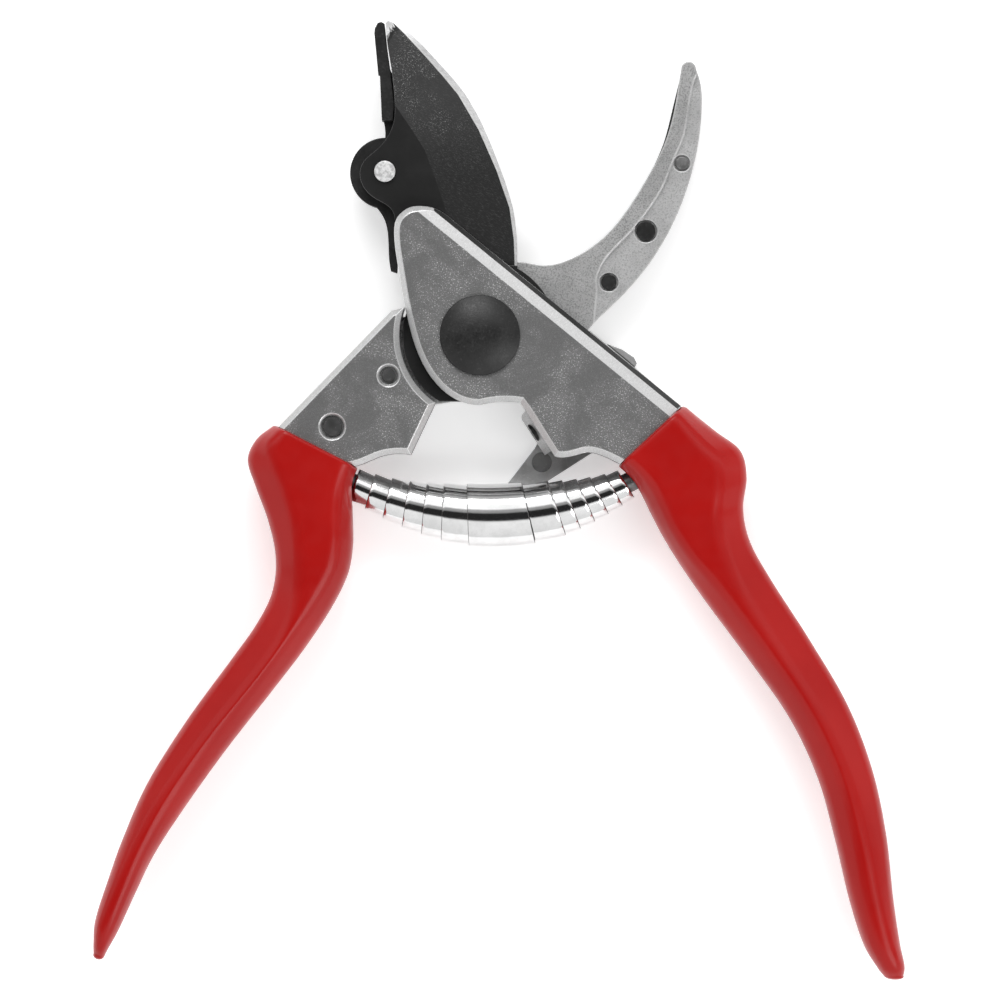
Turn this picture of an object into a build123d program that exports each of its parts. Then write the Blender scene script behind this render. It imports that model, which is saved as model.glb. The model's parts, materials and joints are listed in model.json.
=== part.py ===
from build123d import *

import os
from math import atan2, cos, degrees, hypot, radians, sin

# Cut-and-hold pruning shears, lying on their back with the handles open.
# The pivot axis is +Z through the origin, +Y runs towards the blade tip and the
# front of the tool faces +Z. The pivot nut and the lock lever rest on Z = 0.
# All sizes are millimetres.

os.makedirs("parts", exist_ok=True)

# ---- levels through the thickness -------------------------------------------
LEVER_FRONT = 1.4
METAL_BACK = 1.7  # back face of both forged handles
WASHER_BACK = 2.9
BORE_FLOOR = 3.5  # floor of the counterbore round the washer
REAR_EAR_TOP = 6.5  # rear ear of the hook handle
SLIDE_PLANE = 9.4  # face of the hook that the blade slides on
BLADE_BACK = 9.45
BLADE_FRONT = 12.2
METAL_FRONT = 16.1  # front face of both forged handles
GRIP_MID = 9.7

# ---- driving dimensions -----------------------------------------------------
CLOSING_ANGLE = 58.0
LOCK_ANGLE = 8.0
RUNNING = 0.05  # radial clearance of a turning fit
BOLT_R = 4.0
BOLT_HEAD_R = 8.0
BOLT_HEAD_HEIGHT = 2.8
NUT_FLATS = 13.0
WASHER_R = 8.6
BUSH_R = 5.5
HUB_R = 15.0  # rear ear and hook hub
HUB_FLAT = -13.1  # the hub and the blade base are cut flat below this Y
BACK_RECESS_R = 15.5  # back of the blade handle round the hub
BLADE_BASE_R = 15.4
FRONT_RECESS_R = 16.05  # front of the hook handle round the blade base
VINYL = 2.6  # thickness of the dipped grips over the tangs
EDGE_BEVEL = 1.1
CHEEK_EDGE = 0.75  # thickness left at the edge by the hollow grind of the cheek
EDGE_LAND = 0.12  # thickness left at the edge by the bevel
WIDE_BEVEL = [(-3.1, 0.0), (-1.0, 0.5), (0.3, 2.2)]  # across the straight edge, and depth

DOWEL_AT = (14.6, -12.9)
DOWEL_R = 1.5
HOOK_RIVET_AT = (-18.2, -8.0)
HOOK_RIVET_R = 1.4
STUD_RIVET_AT = (-29.4, -18.2)
STUD_RIVET_R = 1.9
PAD_RIVETS = [((33.2, 21.0), 1.9), ((25.8, 10.8), 1.5)]
PAD_PIN_AT = (40.4, 34.6)
PAD_PIN_R = 1.3
RIVET_GROOVE = 0.35  # width of the groove round each rivet head in the hook
HOLDER_RIVET_AT = (-19.0, 32.8)
HOLDER_RIVET_R = 1.7
LOCK_PIVOT_AT = (20.5, -20.5)
LOCK_PIVOT_R = 2.0
LOCK_PIN_AT = (12.4, -25.2)

# Volute spring: a cone of six turns at each side of one wide middle turn.
SPRING_CENTRE = (1.95, 26.35)  # centre of the bowed centreline
SPRING_BOW_R = 62.2
SPRING_Z = 8.9
SPRING_R = 6.2
SPRING_WALL = 0.2
SPRING_STRIP = 6.2  # width of the strip
LEFT_STEP = 0.5  # radius lost at each turn
RIGHT_STEP = 0.5
LEFT_SHOWN = [5.1, 3.75, 3.75, 3.85, 3.7, 3.5]  # length that each turn shows
RIGHT_SHOWN = [5.8, 3.0, 3.0, 2.9, 3.1, 2.7]
MIDDLE_SPAN = (-4.1, 7.1)  # degrees round the bow, from straight down

# ---- handle stations: inner edge point, outer edge point, thickness, squareness
RIGHT_STATIONS = [
    ((27.6, -25.9), (40.5, -13.8), 16.2, 4.2),
    ((30.0, -28.6), (47.0, -19.0), 16.2, 4.0),
    ((32.4, -32.0), (52.0, -22.9), 16.2, 3.6),
    ((34.2, -35.6), (53.3, -28.2), 16.2, 3.2),
    ((36.4, -39.8), (52.6, -34.6), 16.1, 3.0),
    ((39.8, -45.4), (54.0, -41.2), 15.8, 2.8),
    ((45.2, -53.2), (58.2, -48.8), 15.4, 2.6),
    ((53.8, -64.8), (65.8, -60.6), 14.8, 2.5),
    ((62.0, -76.6), (73.4, -73.6), 14.2, 2.4),
    ((67.6, -88.6), (78.4, -86.6), 13.5, 2.4),
    ((71.0, -100.8), (81.2, -99.6), 12.8, 2.4),
    ((73.8, -112.6), (82.6, -112.2), 11.9, 2.4),
    ((76.6, -121.4), (83.9, -121.0), 10.4, 2.4),
    ((79.4, -126.2), (84.9, -125.8), 7.8, 2.2),
    ((81.3, -128.3), (84.1, -128.1), 3.6, 2.0),
]
LEFT_STATIONS = [
    ((-24.4, -26.3), (-40.9, -17.8), 16.2, 4.2),
    ((-25.2, -29.4), (-44.6, -20.6), 16.2, 4.0),
    ((-25.5, -33.0), (-46.4, -24.8), 16.2, 3.6),
    ((-25.4, -37.2), (-44.8, -30.2), 16.2, 3.2),
    ((-25.4, -42.0), (-42.2, -37.4), 16.1, 3.0),
    ((-26.4, -47.6), (-40.8, -44.6), 15.8, 2.8),
    ((-29.6, -54.2), (-41.6, -51.4), 15.4, 2.6),
    ((-35.0, -62.4), (-44.8, -57.8), 14.9, 2.5),
    ((-41.4, -70.8), (-49.8, -64.8), 14.4, 2.4),
    ((-50.8, -82.8), (-58.6, -76.8), 13.8, 2.4),
    ((-59.4, -94.8), (-66.4, -89.2), 13.0, 2.4),
    ((-65.2, -103.8), (-71.3, -100.2), 12.1, 2.4),
    ((-68.9, -111.4), (-74.4, -108.8), 11.1, 2.4),
    ((-72.2, -118.6), (-76.9, -116.6), 9.4, 2.4),
    ((-74.4, -122.6), (-77.3, -121.2), 6.9, 2.2),
    ((-75.6, -124.3), (-76.9, -123.7), 3.0, 2.0),
]
TANG_SHORT = 3  # the metal tang stops this many stations before the grip does



def rim_point(station, inset_from_inner):
    """Point on the line across a handle, a distance from its inner edge."""
    (x0, y0), (x1, y1) = station[:2]
    share = inset_from_inner / hypot(x1 - x0, y1 - y0)
    return (x0 + (x1 - x0) * share, y0 + (y1 - y0) * share)


# ---- outlines ---------------------------------------------------------------
LEFT_RIM = (rim_point(LEFT_STATIONS[0], 0.5), rim_point(LEFT_STATIONS[0], 17.7))
RIGHT_RIM = (rim_point(RIGHT_STATIONS[0], 0.45), rim_point(RIGHT_STATIONS[0], 17.24))
HOOK_INNER = [
    (7.2, 14.8), (8.8, 14.8), (12.0, 14.2), (15.0, 14.4), (17.6, 15.2), (21.4, 17.2),
    (26.2, 21.2), (29.4, 25.2), (33.2, 31.2), (35.4, 35.2), (37.2, 39.2), (39.0, 45.6),
    (39.8, 50.2), (40.4, 54.0),
]
HOOK_OUTER = [
    (43.2, 53.4), (44.2, 50.2), (44.4, 46.2), (43.8, 39.2), (42.0, 31.2), (39.0, 23.2),
    (34.4, 15.2), (27.6, 7.2), (23.4, 3.2), (21.6, 1.2),
]
HOOK_STEP = [
    (23.4, 9.3), (23.7, 13.0), (25.4, 16.0), (28.2, 19.0), (31.2, 22.2), (34.2, 26.2),
    (36.8, 30.6), (38.6, 35.2), (40.4, 39.2), (41.6, 45.2), (42.8, 51.2),
]
HOOK_TONGUE = [
    (-11.0, 8.0), (-20.5, -2.5), (-34.0, -15.5), (-34.5, -19.5), (-31.0, -22.4),
    (-26.5, -22.0), (-14.0, -14.5), (-5.0, HUB_FLAT),
]
BLADE_EDGE = [
    (-18.4, 63.0), (-14.6, 61.0), (-10.4, 57.0), (-6.2, 52.4), (-3.4, 49.0), (0.8, 41.6),
    (4.2, 33.2), (6.6, 25.6), (7.4, 19.2), (7.5, 14.8),
]
BLADE_BACK_EDGE = [
    (-18.9, 62.4), (-18.3, 57.0), (-17.5, 51.9), (-17.0, 46.3), (-17.2, 42.8), (-18.4, 39.8),
    (-20.9, 36.9), (-23.2, 34.8), (-24.0, 32.2), (-23.2, 29.6), (-20.9, 27.4), (-18.6, 26.1),
    (-17.0, 23.4),
]
BLADE_ROOT = [(7.5, 5.0), (-14.2, 3.6), (-13.9, 6.3), (-14.4, 9.0)]
# Across the hollow-ground cheek: cutting edge point, root of the grind, bevel width.
GRIND = [
    ((-18.2, 63.9), (-19.6, 61.8), 0.4),
    ((-14.6, 61.0), (-18.9, 57.4), 0.8),
    ((-10.4, 57.0), (-17.4, 51.4), 1.2),
    ((-6.2, 52.4), (-16.8, 45.8), 1.4),
    ((-3.4, 49.0), (-13.9, 41.6), 1.4),
    ((0.8, 41.6), (-11.0, 37.0), 1.3),
    ((4.2, 33.2), (-9.0, 31.6), 1.1),
    ((6.6, 25.6), (-7.2, 26.2), 0.9),
    ((7.4, 19.2), (-5.4, 20.0), 0.8),
    ((7.5, 14.0), (-4.6, 14.0), 0.7),
]
NOSE = [
    (0, -13.9), (-6.6, -11.6), (-10.4, -7.4), (-12.7, -2.7), (-14.2, 2.4), (-15.3, 7.6),
    (-16.2, 13.0), (-17.1, 20.0), (-16.8, 22.8), (-15.2, 24.8),
]
NOSE_TOP = [(-15.2, 24.8), (-12.2, 25.8), (-9.0, 25.3), (-5.8, 23.3)]
CORNER = (14.9, -24.1)
BLADE_HANDLE_FOOT = [
    CORNER, (16.8, -24.3), (19.6, -23.7), (21.3, -23.3), (23.8, -23.7), (26.4, -24.8), RIGHT_RIM[0],
]
METAL_END = RIGHT_RIM[1]
SHOULDER_TOP = (21.92, 1.1)
STOP_TOP = (-8.88, -13.38)
STOP_FOOT = (-13.8, -23.8)
HOOK_HANDLE_FOOT = [STOP_FOOT, (-17.0, -23.6), (-20.0, -24.2), (-22.4, -25.2), LEFT_RIM[0]]
PAD = [
    (17.7, 14.9), (21.5, 16.9), (26.3, 20.9), (29.4, 24.8), (33.1, 30.8), (35.2, 34.9),
    (36.9, 39.0), (38.6, 45.5), (39.7, 50.0), (40.5, 53.4),
]
PAD_OUTER = [
    (43.2, 53.0), (44.3, 50.0), (44.4, 46.2), (43.4, 39.4), (41.3, 31.6), (38.3, 23.8),
    (33.8, 16.0), (27.4, 8.8), (24.6, 6.6),
]


def polar(radius, angle):
    """Point at an angle in degrees on a circle about the pivot."""
    return (radius * cos(radians(angle)), radius * sin(radians(angle)))


def turned(point, angle, centre=(0, 0)):
    """Point turned by an angle in degrees about a centre."""
    dx = point[0] - centre[0]
    dy = point[1] - centre[1]
    c = cos(radians(angle))
    s = sin(radians(angle))
    return (centre[0] + dx * c - dy * s, centre[1] + dx * s + dy * c)


def save(piece, name):
    """Labels a finished piece and writes it as its own STEP file."""
    piece.label = name
    export_step(piece, f"parts/{name}.step")


def cut_below_flat():
    """Cuts the sketch in progress along the flat under the pivot."""
    with Locations((0, HUB_FLAT)):
        Rectangle(3 * HUB_R, HUB_R, align=(Align.CENTER, Align.MAX), mode=Mode.SUBTRACT)


def section_plane(inner, outer, forward_to):
    """Upright plane across a handle, X from inner to outer edge, normal along it."""
    across = Vector(outer[0] - inner[0], outer[1] - inner[1], 0)
    middle = Vector((inner[0] + outer[0]) / 2, (inner[1] + outer[1]) / 2, GRIP_MID)
    normal = across.cross(Vector(0, 0, 1))
    towards = Vector(forward_to[0], forward_to[1], GRIP_MID) - middle
    if normal.dot(towards) < 0:
        normal = -normal
    return Plane(origin=middle, x_dir=across, z_dir=normal)


def rounded_box(half_width, half_height, power, count=16):
    """Points of a rounded box drawn as a superellipse of the given power."""
    points = []
    for i in range(count):
        c = cos(radians(360 * i / count))
        s = sin(radians(360 * i / count))
        x = half_width * abs(c) ** (2 / power) * (1 if c >= 0 else -1)
        y = half_height * abs(s) ** (2 / power) * (1 if s >= 0 else -1)
        points.append((x, y))
    return points


def handle_form(stations, inset, lead=0.0):
    """Lofted handle drawn in all round by inset.

    A lead starts the form early, inside the forging above the grip.
    """
    with BuildPart() as form:
        for number, (inner, outer, thickness, power) in enumerate(stations):
            width = hypot(outer[0] - inner[0], outer[1] - inner[1]) - 2 * inset
            depth = thickness - 2 * inset
            plane = section_plane(inner, outer, stations[-1][0])
            shifts = [-lead, 0.0] if number == 0 and lead else [0.0]
            for shift in shifts:
                with BuildSketch(plane.offset(shift)):
                    with BuildLine():
                        Spline(
                            *rounded_box(width / 2, depth / 2, power),
                            periodic=True,
                        )
                    make_face()
        loft()
    return form.part


def seat_plane(angle):
    """Plane across the spring's centreline at an angle from straight down."""
    a = radians(angle)
    x = SPRING_CENTRE[0] + SPRING_BOW_R * sin(a)
    y = SPRING_CENTRE[1] - SPRING_BOW_R * cos(a)
    return Plane(origin=(x, y, SPRING_Z), x_dir=(0, 0, 1), z_dir=(cos(a), sin(a), 0))


def ground_wedge(root_z, edge_z, whole_cheek):
    """Ruled wedge ground away along the cutting edge, over the cheek or the bevel."""
    with BuildPart() as wedge:
        for edge, root, bevel in GRIND:
            reach = hypot(edge[0] - root[0], edge[1] - root[1])
            out = Vector((edge[0] - root[0]) / reach, (edge[1] - root[1]) / reach, 0)
            start = reach if whole_cheek else bevel
            plane = Plane(origin=(edge[0], edge[1], 0), x_dir=out, z_dir=out.cross(Vector(0, 0, 1)))
            slope = (root_z - edge_z) / start
            with BuildSketch(plane):
                with BuildLine():
                    Polyline(
                        (-start, root_z),
                        (0.6, edge_z - 0.6 * slope),
                        (0.6, BLADE_FRONT + 1),
                        (-start, BLADE_FRONT + 0.01),
                        close=True,
                    )
                make_face()
        loft(ruled=True)
    return wedge.part


LEFT_END_ANGLE = MIDDLE_SPAN[0] - degrees(sum(LEFT_SHOWN) / SPRING_BOW_R)
RIGHT_END_ANGLE = MIDDLE_SPAN[1] + degrees(sum(RIGHT_SHOWN) / SPRING_BOW_R)

# ---- hook side: forged handle -------------------------------------------------
left_tang = handle_form(LEFT_STATIONS[:-TANG_SHORT], VINYL, lead=3)
right_tang = handle_form(RIGHT_STATIONS[:-TANG_SHORT], VINYL, lead=3)

with BuildPart() as hook_plate:
    with BuildSketch(Plane.XY.offset(REAR_EAR_TOP)):
        Circle(HUB_R)
        cut_below_flat()
        with BuildLine():
            Polyline(*HOOK_TONGUE, close=True)
        make_face()
    extrude(amount=SLIDE_PLANE - REAR_EAR_TOP)

with BuildPart() as left_seat:
    with BuildSketch(seat_plane(LEFT_END_ANGLE).offset(-1.6)):
        Circle(4.4)
    extrude(amount=7)

with BuildPart() as right_seat:
    with BuildSketch(seat_plane(RIGHT_END_ANGLE).offset(1.6)):
        Circle(4.4)
    extrude(amount=-7)

with BuildPart() as hook_handle:
    with BuildSketch(Plane.XY.offset(METAL_BACK)):
        with BuildLine():
            ThreePointArc((-15.05, 5.6), polar(FRONT_RECESS_R, 195), STOP_TOP)
            Line(STOP_TOP, STOP_FOOT)
            Spline(*HOOK_HANDLE_FOOT)
            Polyline(LEFT_RIM[0], LEFT_RIM[1], (-17.7, 4.9), (-15.05, 5.6))
        make_face()
    extrude(amount=METAL_FRONT - METAL_BACK)
    front_rim = hook_handle.faces().sort_by(Axis.Z)[-1].edges()
    chamfer(front_rim.sort_by_distance((-32, -22, METAL_FRONT))[1:], EDGE_BEVEL)
    with BuildSketch(Plane.XY.offset(METAL_BACK)):
        Circle(HUB_R)
        cut_below_flat()
        with BuildLine():
            Polyline((0, 0), (-16.6, 4.3), (-17.6, -1.0), (-16.6, -8.0), (-10.0, -14.2), close=True)
        make_face()
    extrude(amount=REAR_EAR_TOP - METAL_BACK)
    add(left_tang)
    add(hook_plate.part, mode=Mode.SUBTRACT)
    with BuildSketch(Plane.XY.offset(SLIDE_PLANE)):
        Circle(FRONT_RECESS_R)
    extrude(amount=METAL_FRONT, mode=Mode.SUBTRACT)
    with BuildSketch(Plane.XY.offset(METAL_BACK)):
        Circle(WASHER_R + 0.8)
    extrude(amount=BORE_FLOOR - METAL_BACK, mode=Mode.SUBTRACT)
    with BuildSketch(Plane.XY.offset(METAL_BACK)):
        Circle(BUSH_R)
        with Locations(HOOK_RIVET_AT):
            Circle(HOOK_RIVET_R)
        with Locations(STUD_RIVET_AT):
            Circle(STUD_RIVET_R)
    extrude(amount=METAL_FRONT - METAL_BACK, mode=Mode.SUBTRACT)
    with BuildSketch(Plane.XY.offset(METAL_FRONT - 1.0)):
        with Locations(HOOK_RIVET_AT):
            Circle(HOOK_RIVET_R + 0.55)
        with Locations(STUD_RIVET_AT):
            Circle(STUD_RIVET_R + 0.45)
    extrude(amount=1.0, mode=Mode.SUBTRACT)
    rivet_rims = hook_handle.edges().filter_by(GeomType.CIRCLE).filter_by(lambda rim: rim.radius < 3)
    chamfer(rivet_rims.group_by(Axis.Z)[-1], 0.35)
    add(left_seat.part, mode=Mode.SUBTRACT)

with BuildPart() as spring_peg_left:
    with BuildSketch(seat_plane(LEFT_END_ANGLE).offset(2.6)):
        Circle(2.0)
    extrude(amount=-9)
    add(hook_handle.part, mode=Mode.SUBTRACT)

with BuildPart() as hook_grip:
    add(handle_form(LEFT_STATIONS, 0))
    add(left_tang, mode=Mode.SUBTRACT)
    add(left_seat.part, mode=Mode.SUBTRACT)
    add(spring_peg_left.part, mode=Mode.SUBTRACT)


# ---- hook, its rubber pad and its fixings -------------------------------------
with BuildPart() as counter_blade:
    with BuildSketch(Plane.XY.offset(REAR_EAR_TOP - 1.3)):
        with BuildLine():
            Spline(*HOOK_INNER)
            ThreePointArc(HOOK_INNER[-1], (41.9, 54.9), HOOK_OUTER[0])
            Spline(*HOOK_OUTER)
            Polyline(HOOK_OUTER[-1], (11.5, -9.6), (0, 0), HOOK_INNER[0])
        make_face()
    extrude(amount=SLIDE_PLANE - REAR_EAR_TOP + 1.3)
    with BuildSketch(Plane.XY.offset(METAL_BACK)):
        Circle(HUB_R + 1.6)
    extrude(amount=REAR_EAR_TOP - METAL_BACK, mode=Mode.SUBTRACT)
    add(hook_plate.part)
    with BuildSketch(Plane.XY.offset(SLIDE_PLANE - 0.8)):
        with BuildLine():
            Spline(*HOOK_STEP)
            Polyline(HOOK_STEP[-1], (45.0, 56.0), (50.0, 30.0), (30.0, 0.0), (22.6, 1.0), HOOK_STEP[0])
        make_face()
    extrude(amount=0.8, mode=Mode.SUBTRACT)
    with BuildSketch(Plane.XY.offset(METAL_BACK)):
        Circle(BUSH_R)
        with Locations(HOOK_RIVET_AT):
            Circle(HOOK_RIVET_R)
        with Locations(STUD_RIVET_AT):
            Circle(STUD_RIVET_R)
        with Locations(PAD_PIN_AT):
            Circle(PAD_PIN_R)
        for rivet_at, rivet_r in PAD_RIVETS:
            with Locations(rivet_at):
                Circle(rivet_r)
    extrude(amount=METAL_FRONT, mode=Mode.SUBTRACT)
    with BuildSketch(Plane.XY.offset(SLIDE_PLANE - 1.5)):
        for rivet_at, rivet_r in [*PAD_RIVETS, (PAD_PIN_AT, PAD_PIN_R)]:
            with Locations(rivet_at):
                Circle(rivet_r + RIVET_GROOVE)
    extrude(amount=METAL_FRONT, mode=Mode.SUBTRACT)

PAD_TOP = REAR_EAR_TOP - 1.3
PAD_BACK = PAD_TOP - 2.0
with BuildPart() as grip_pad:
    with BuildSketch(Plane.XY.offset(PAD_BACK)):
        with BuildLine():
            Spline(*PAD)
            ThreePointArc(PAD[-1], (41.9, 54.2), PAD_OUTER[0])
            Spline(*PAD_OUTER)
            Line(PAD_OUTER[-1], PAD[0])
        make_face()
    extrude(amount=PAD_TOP - PAD_BACK)
    with BuildSketch(Plane.XY.offset(PAD_BACK)):
        with Locations(PAD_PIN_AT):
            Circle(PAD_PIN_R)
        for rivet_at, rivet_r in PAD_RIVETS:
            with Locations(rivet_at):
                Circle(rivet_r)
    extrude(amount=PAD_TOP - PAD_BACK, mode=Mode.SUBTRACT)

with BuildPart() as pad_rivets:
    for rivet_at, rivet_r in PAD_RIVETS:
        with BuildSketch(Plane.XY.offset(PAD_BACK)):
            with Locations(rivet_at):
                Circle(rivet_r)
        extrude(amount=SLIDE_PLANE - 0.5 - PAD_BACK)
        with BuildSketch(Plane.XY.offset(PAD_BACK - 0.7)):
            with Locations(rivet_at):
                Circle(rivet_r + 0.9)
        extrude(amount=0.7)

with BuildPart() as pad_pin:
    with BuildSketch(Plane.XY.offset(PAD_BACK)):
        with Locations(PAD_PIN_AT):
            Circle(PAD_PIN_R)
    extrude(amount=SLIDE_PLANE - 0.6 - PAD_BACK)

with BuildPart() as hook_rivet:
    with BuildSketch(Plane.XY.offset(METAL_BACK)):
        with Locations(HOOK_RIVET_AT):
            Circle(HOOK_RIVET_R)
    extrude(amount=METAL_FRONT - 0.5 - METAL_BACK)

with BuildPart() as stud_rivet:
    with BuildSketch(Plane.XY.offset(0.2)):
        with Locations(STUD_RIVET_AT):
            Circle(STUD_RIVET_R)
    extrude(amount=METAL_FRONT - 0.4 - 0.2)

with BuildPart() as pivot_bush:
    with BuildSketch(Plane.XY.offset(BORE_FLOOR)):
        Circle(BUSH_R)
        Circle(BOLT_R + RUNNING, mode=Mode.SUBTRACT)
    extrude(amount=SLIDE_PLANE - BORE_FLOOR)

# ---- blade side: blade and forged handle --------------------------------------
with BuildPart() as blade:
    with BuildSketch(Plane.XY.offset(BLADE_BACK)):
        with BuildLine():
            Spline(*BLADE_EDGE)
            Polyline(BLADE_EDGE[-1], *BLADE_ROOT, BLADE_BACK_EDGE[-1])
            Spline(*BLADE_BACK_EDGE)
            Line(BLADE_BACK_EDGE[0], BLADE_EDGE[0])
        make_face()
        Circle(BLADE_BASE_R)
        cut_below_flat()
        with BuildLine():
            Polyline((8.0, -12.0), (14.5, -18.5), (19.5, -13.5), (13.5, -6.0), close=True)
        make_face()
    extrude(amount=BLADE_FRONT - BLADE_BACK)
    add(ground_wedge(BLADE_FRONT, BLADE_BACK + CHEEK_EDGE, whole_cheek=True), mode=Mode.SUBTRACT)
    bevel_root = BLADE_BACK + CHEEK_EDGE + 0.3
    add(ground_wedge(bevel_root, BLADE_BACK + EDGE_LAND, whole_cheek=False), mode=Mode.SUBTRACT)
    with BuildSketch(Plane.XY.offset(BLADE_BACK)):
        Circle(BOLT_R)
        with Locations(DOWEL_AT):
            Circle(DOWEL_R)
        with Locations(HOLDER_RIVET_AT):
            Circle(HOLDER_RIVET_R)
    extrude(amount=BLADE_FRONT, mode=Mode.SUBTRACT)

straight_edge = (Vector(*METAL_END) - Vector(*NOSE_TOP[-1])).normalized()
wide_bevel_plane = Plane(
    origin=(*METAL_END, METAL_FRONT),
    x_dir=(-straight_edge.Y, straight_edge.X, 0),
    z_dir=straight_edge.cross(Vector(0, 0, 1)).cross(Vector(0, 0, 1)),
)

with BuildPart() as blade_handle:
    with BuildSketch(Plane.XY.offset(BLADE_FRONT)):
        with BuildLine():
            Spline(*NOSE)
            Spline(*NOSE_TOP, tangents=[(0.75, 0.66), (straight_edge.X, straight_edge.Y)])
            Line(NOSE_TOP[-1], METAL_END)
            Line(METAL_END, BLADE_HANDLE_FOOT[-1])
            Spline(*reversed(BLADE_HANDLE_FOOT))
            Polyline(CORNER, (9.2, -15.0), (8.0, -13.4))
            Spline((8.0, -13.4), (5.2, -13.2), (0, -13.9))
        make_face()
    extrude(amount=METAL_FRONT - BLADE_FRONT)
    front_rim = blade_handle.faces().sort_by(Axis.Z)[-1].edges()
    chamfer(front_rim.sort_by_distance((34, -20, METAL_FRONT))[1:], EDGE_BEVEL)
    with BuildSketch(wide_bevel_plane):
        with BuildLine():
            Polyline(*WIDE_BEVEL, (WIDE_BEVEL[-1][0], -1), (WIDE_BEVEL[0][0], -1), close=True)
        make_face()
    extrude(amount=70, both=True, mode=Mode.SUBTRACT)
    with BuildSketch(Plane.XY.offset(METAL_BACK)):
        with BuildLine():
            Polyline(METAL_END, SHOULDER_TOP, polar(BACK_RECESS_R, -40.1))
            ThreePointArc(
                polar(BACK_RECESS_R, -40.1), polar(BACK_RECESS_R, -50), polar(BACK_RECESS_R, -58.5)
            )
            Polyline(polar(BACK_RECESS_R, -58.5), (9.2, -15.0), CORNER)
            Spline(*BLADE_HANDLE_FOOT)
            Line(BLADE_HANDLE_FOOT[-1], METAL_END)
        make_face()
    extrude(amount=BLADE_FRONT - METAL_BACK)
    add(right_tang)
    add(blade.part, mode=Mode.SUBTRACT)
    with BuildSketch(Plane.XY.offset(METAL_BACK)):
        Circle(BOLT_R)
    extrude(amount=METAL_FRONT, mode=Mode.SUBTRACT)
    with BuildSketch(Plane.XY.offset(METAL_BACK)):
        with Locations(LOCK_PIVOT_AT):
            Circle(LOCK_PIVOT_R)
    extrude(amount=7.05 - METAL_BACK, mode=Mode.SUBTRACT)
    add(right_seat.part, mode=Mode.SUBTRACT)

# The stop block sits in a pocket of the blade handle, its face towards the hook handle.
BLOCK = [(7.8, -15.8), (13.0, -23.8), (15.6, -22.2), (10.6, -14.2)]
BLOCK_BACK = 3.4
BLOCK_TOP = 10.0
BLOCK_LEAN = 1.5
LEAN_FROM = 5.0
BLOCK_SCREW_AT = (10.3, -19.6)
FACE_ANGLE = degrees(atan2(BLOCK[1][1] - BLOCK[0][1], BLOCK[1][0] - BLOCK[0][0]))
screw_plane = Plane(
    origin=(BLOCK_SCREW_AT[0], BLOCK_SCREW_AT[1], (BLOCK_BACK + BLOCK_TOP) / 2),
    x_dir=(0, 0, 1),
    z_dir=(-sin(radians(FACE_ANGLE)), cos(radians(FACE_ANGLE)), 0),
)

block_face = screw_plane.z_dir.cross(Vector(0, 0, 1))

with BuildPart() as stop_screw:
    with BuildSketch(screw_plane.offset(0.3)):
        Circle(1.1)
    extrude(amount=8)
    with BuildSketch(screw_plane.offset(0.3)):
        Circle(1.9)
    extrude(amount=1.1)

with BuildPart() as stop_block:
    with BuildSketch(Plane.XY.offset(BLOCK_BACK)):
        with BuildLine():
            Polyline(*BLOCK, close=True)
        make_face()
    extrude(amount=BLOCK_TOP - BLOCK_BACK)
    fillet(stop_block.edges().filter_by(Axis.Z).sort_by_distance((*BLOCK[0], BLOCK_TOP))[0], 1.2)
    with BuildSketch(Plane(origin=(*BLOCK[0], 0), x_dir=screw_plane.z_dir, z_dir=block_face)):
        with BuildLine():
            Polyline((0, LEAN_FROM), (BLOCK_LEAN, BLOCK_TOP), (-1, BLOCK_TOP), (-1, LEAN_FROM), close=True)
        make_face()
    extrude(amount=12, both=True, mode=Mode.SUBTRACT)
    with BuildSketch(screw_plane.offset(-2)):
        Circle(1.9)
    extrude(amount=3.4, mode=Mode.SUBTRACT)
    add(stop_screw.part, mode=Mode.SUBTRACT)

with BuildPart() as blade_handle_finished:
    add(blade_handle.part)
    with BuildSketch(Plane.XY.offset(BLOCK_BACK)):
        with BuildLine():
            Polyline(*BLOCK, close=True)
        make_face()
    extrude(amount=BLOCK_TOP - BLOCK_BACK, mode=Mode.SUBTRACT)
    add(stop_screw.part, mode=Mode.SUBTRACT)
    with BuildSketch(Plane.XY.offset(4.4)):
        with Locations(DOWEL_AT):
            Circle(DOWEL_R)
    extrude(amount=10, mode=Mode.SUBTRACT)

with BuildPart() as blade_dowel:
    with BuildSketch(Plane.XY.offset(4.4)):
        with Locations(DOWEL_AT):
            Circle(DOWEL_R)
    extrude(amount=10)

with BuildPart() as spring_peg_right:
    with BuildSketch(seat_plane(RIGHT_END_ANGLE).offset(-2.6)):
        Circle(2.0)
    extrude(amount=9)
    add(blade_handle.part, mode=Mode.SUBTRACT)

with BuildPart() as blade_grip:
    add(handle_form(RIGHT_STATIONS, 0))
    add(right_tang, mode=Mode.SUBTRACT)
    add(right_seat.part, mode=Mode.SUBTRACT)
    add(spring_peg_right.part, mode=Mode.SUBTRACT)


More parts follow.
